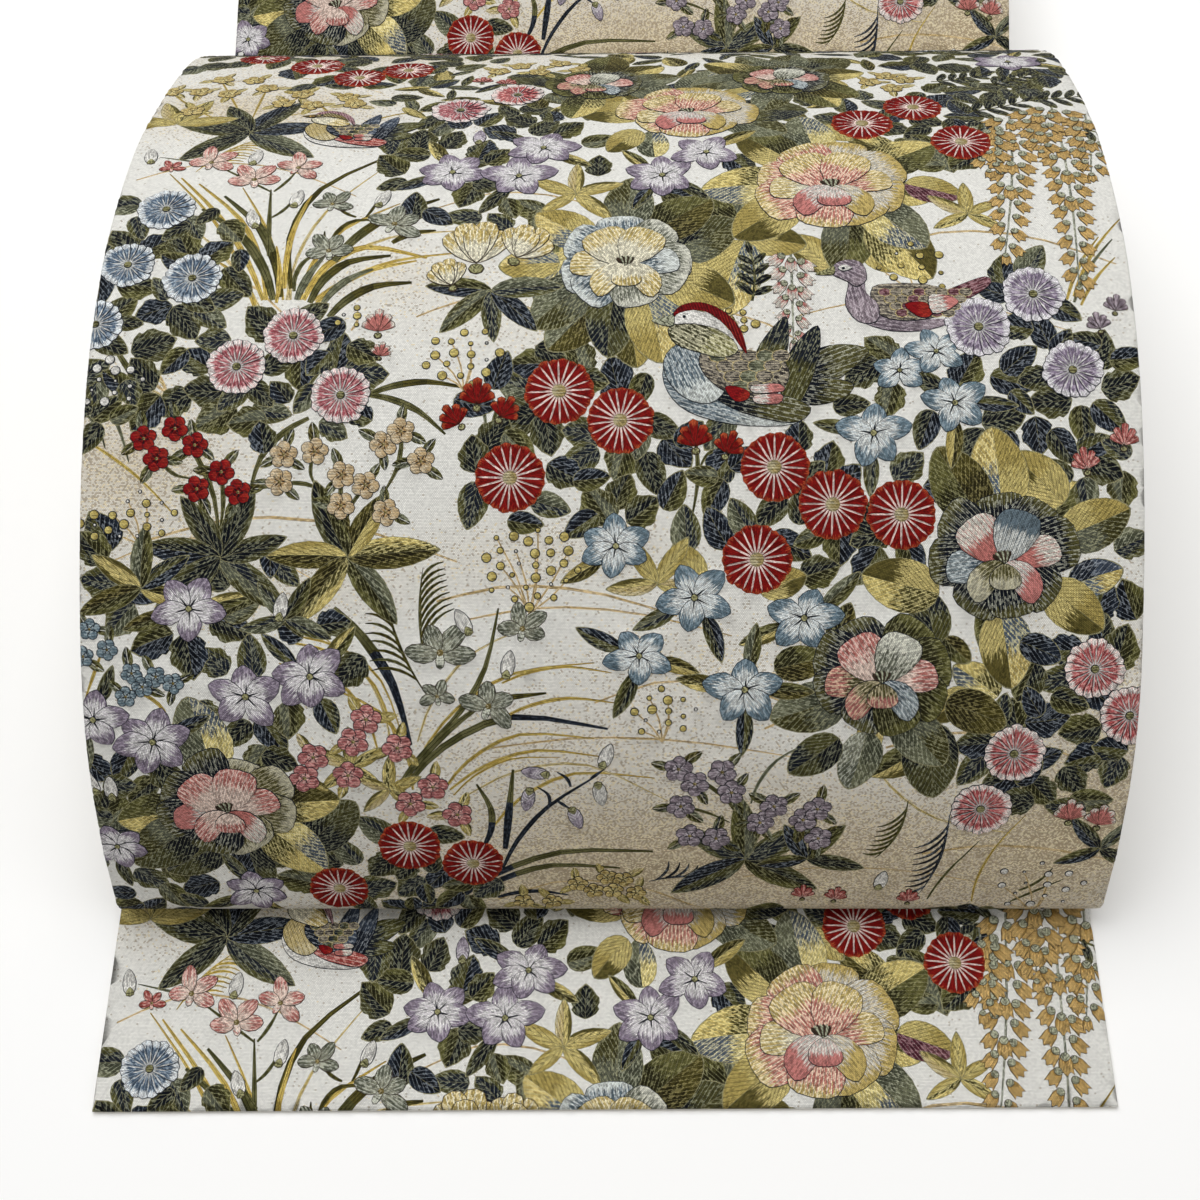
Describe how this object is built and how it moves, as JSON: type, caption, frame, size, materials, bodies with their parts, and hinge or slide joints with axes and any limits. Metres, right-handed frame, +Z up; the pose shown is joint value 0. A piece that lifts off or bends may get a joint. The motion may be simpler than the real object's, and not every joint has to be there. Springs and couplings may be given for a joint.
{
  "type": "obi sash, laid out on a table",
  "caption": "Woven brocade sash laid out flat-tailed, with a hollow drum arch and the rest of its length folded behind.",
  "frame": {"origin": "middle of the footprint, on the surface the sash lies on", "axes": "+Z up; +Y runs along the cloth from the tail's cut end towards the folded stack; +X to the right seen from the tail"},
  "size_m": [0.3187, 0.6208, 0.1255],
  "materials": {
    "brocade": "figured silk brocade with satin floats and gold thread on a pale twill ground",
    "reverse": "plain pale silk reverse, fine twill"
  },
  "bodies": {
    "root": {"tail_end": "brocade", "drum": "brocade", "upper_run": "brocade", "folded_rest": "reverse"}
  },
  "joints": []
}
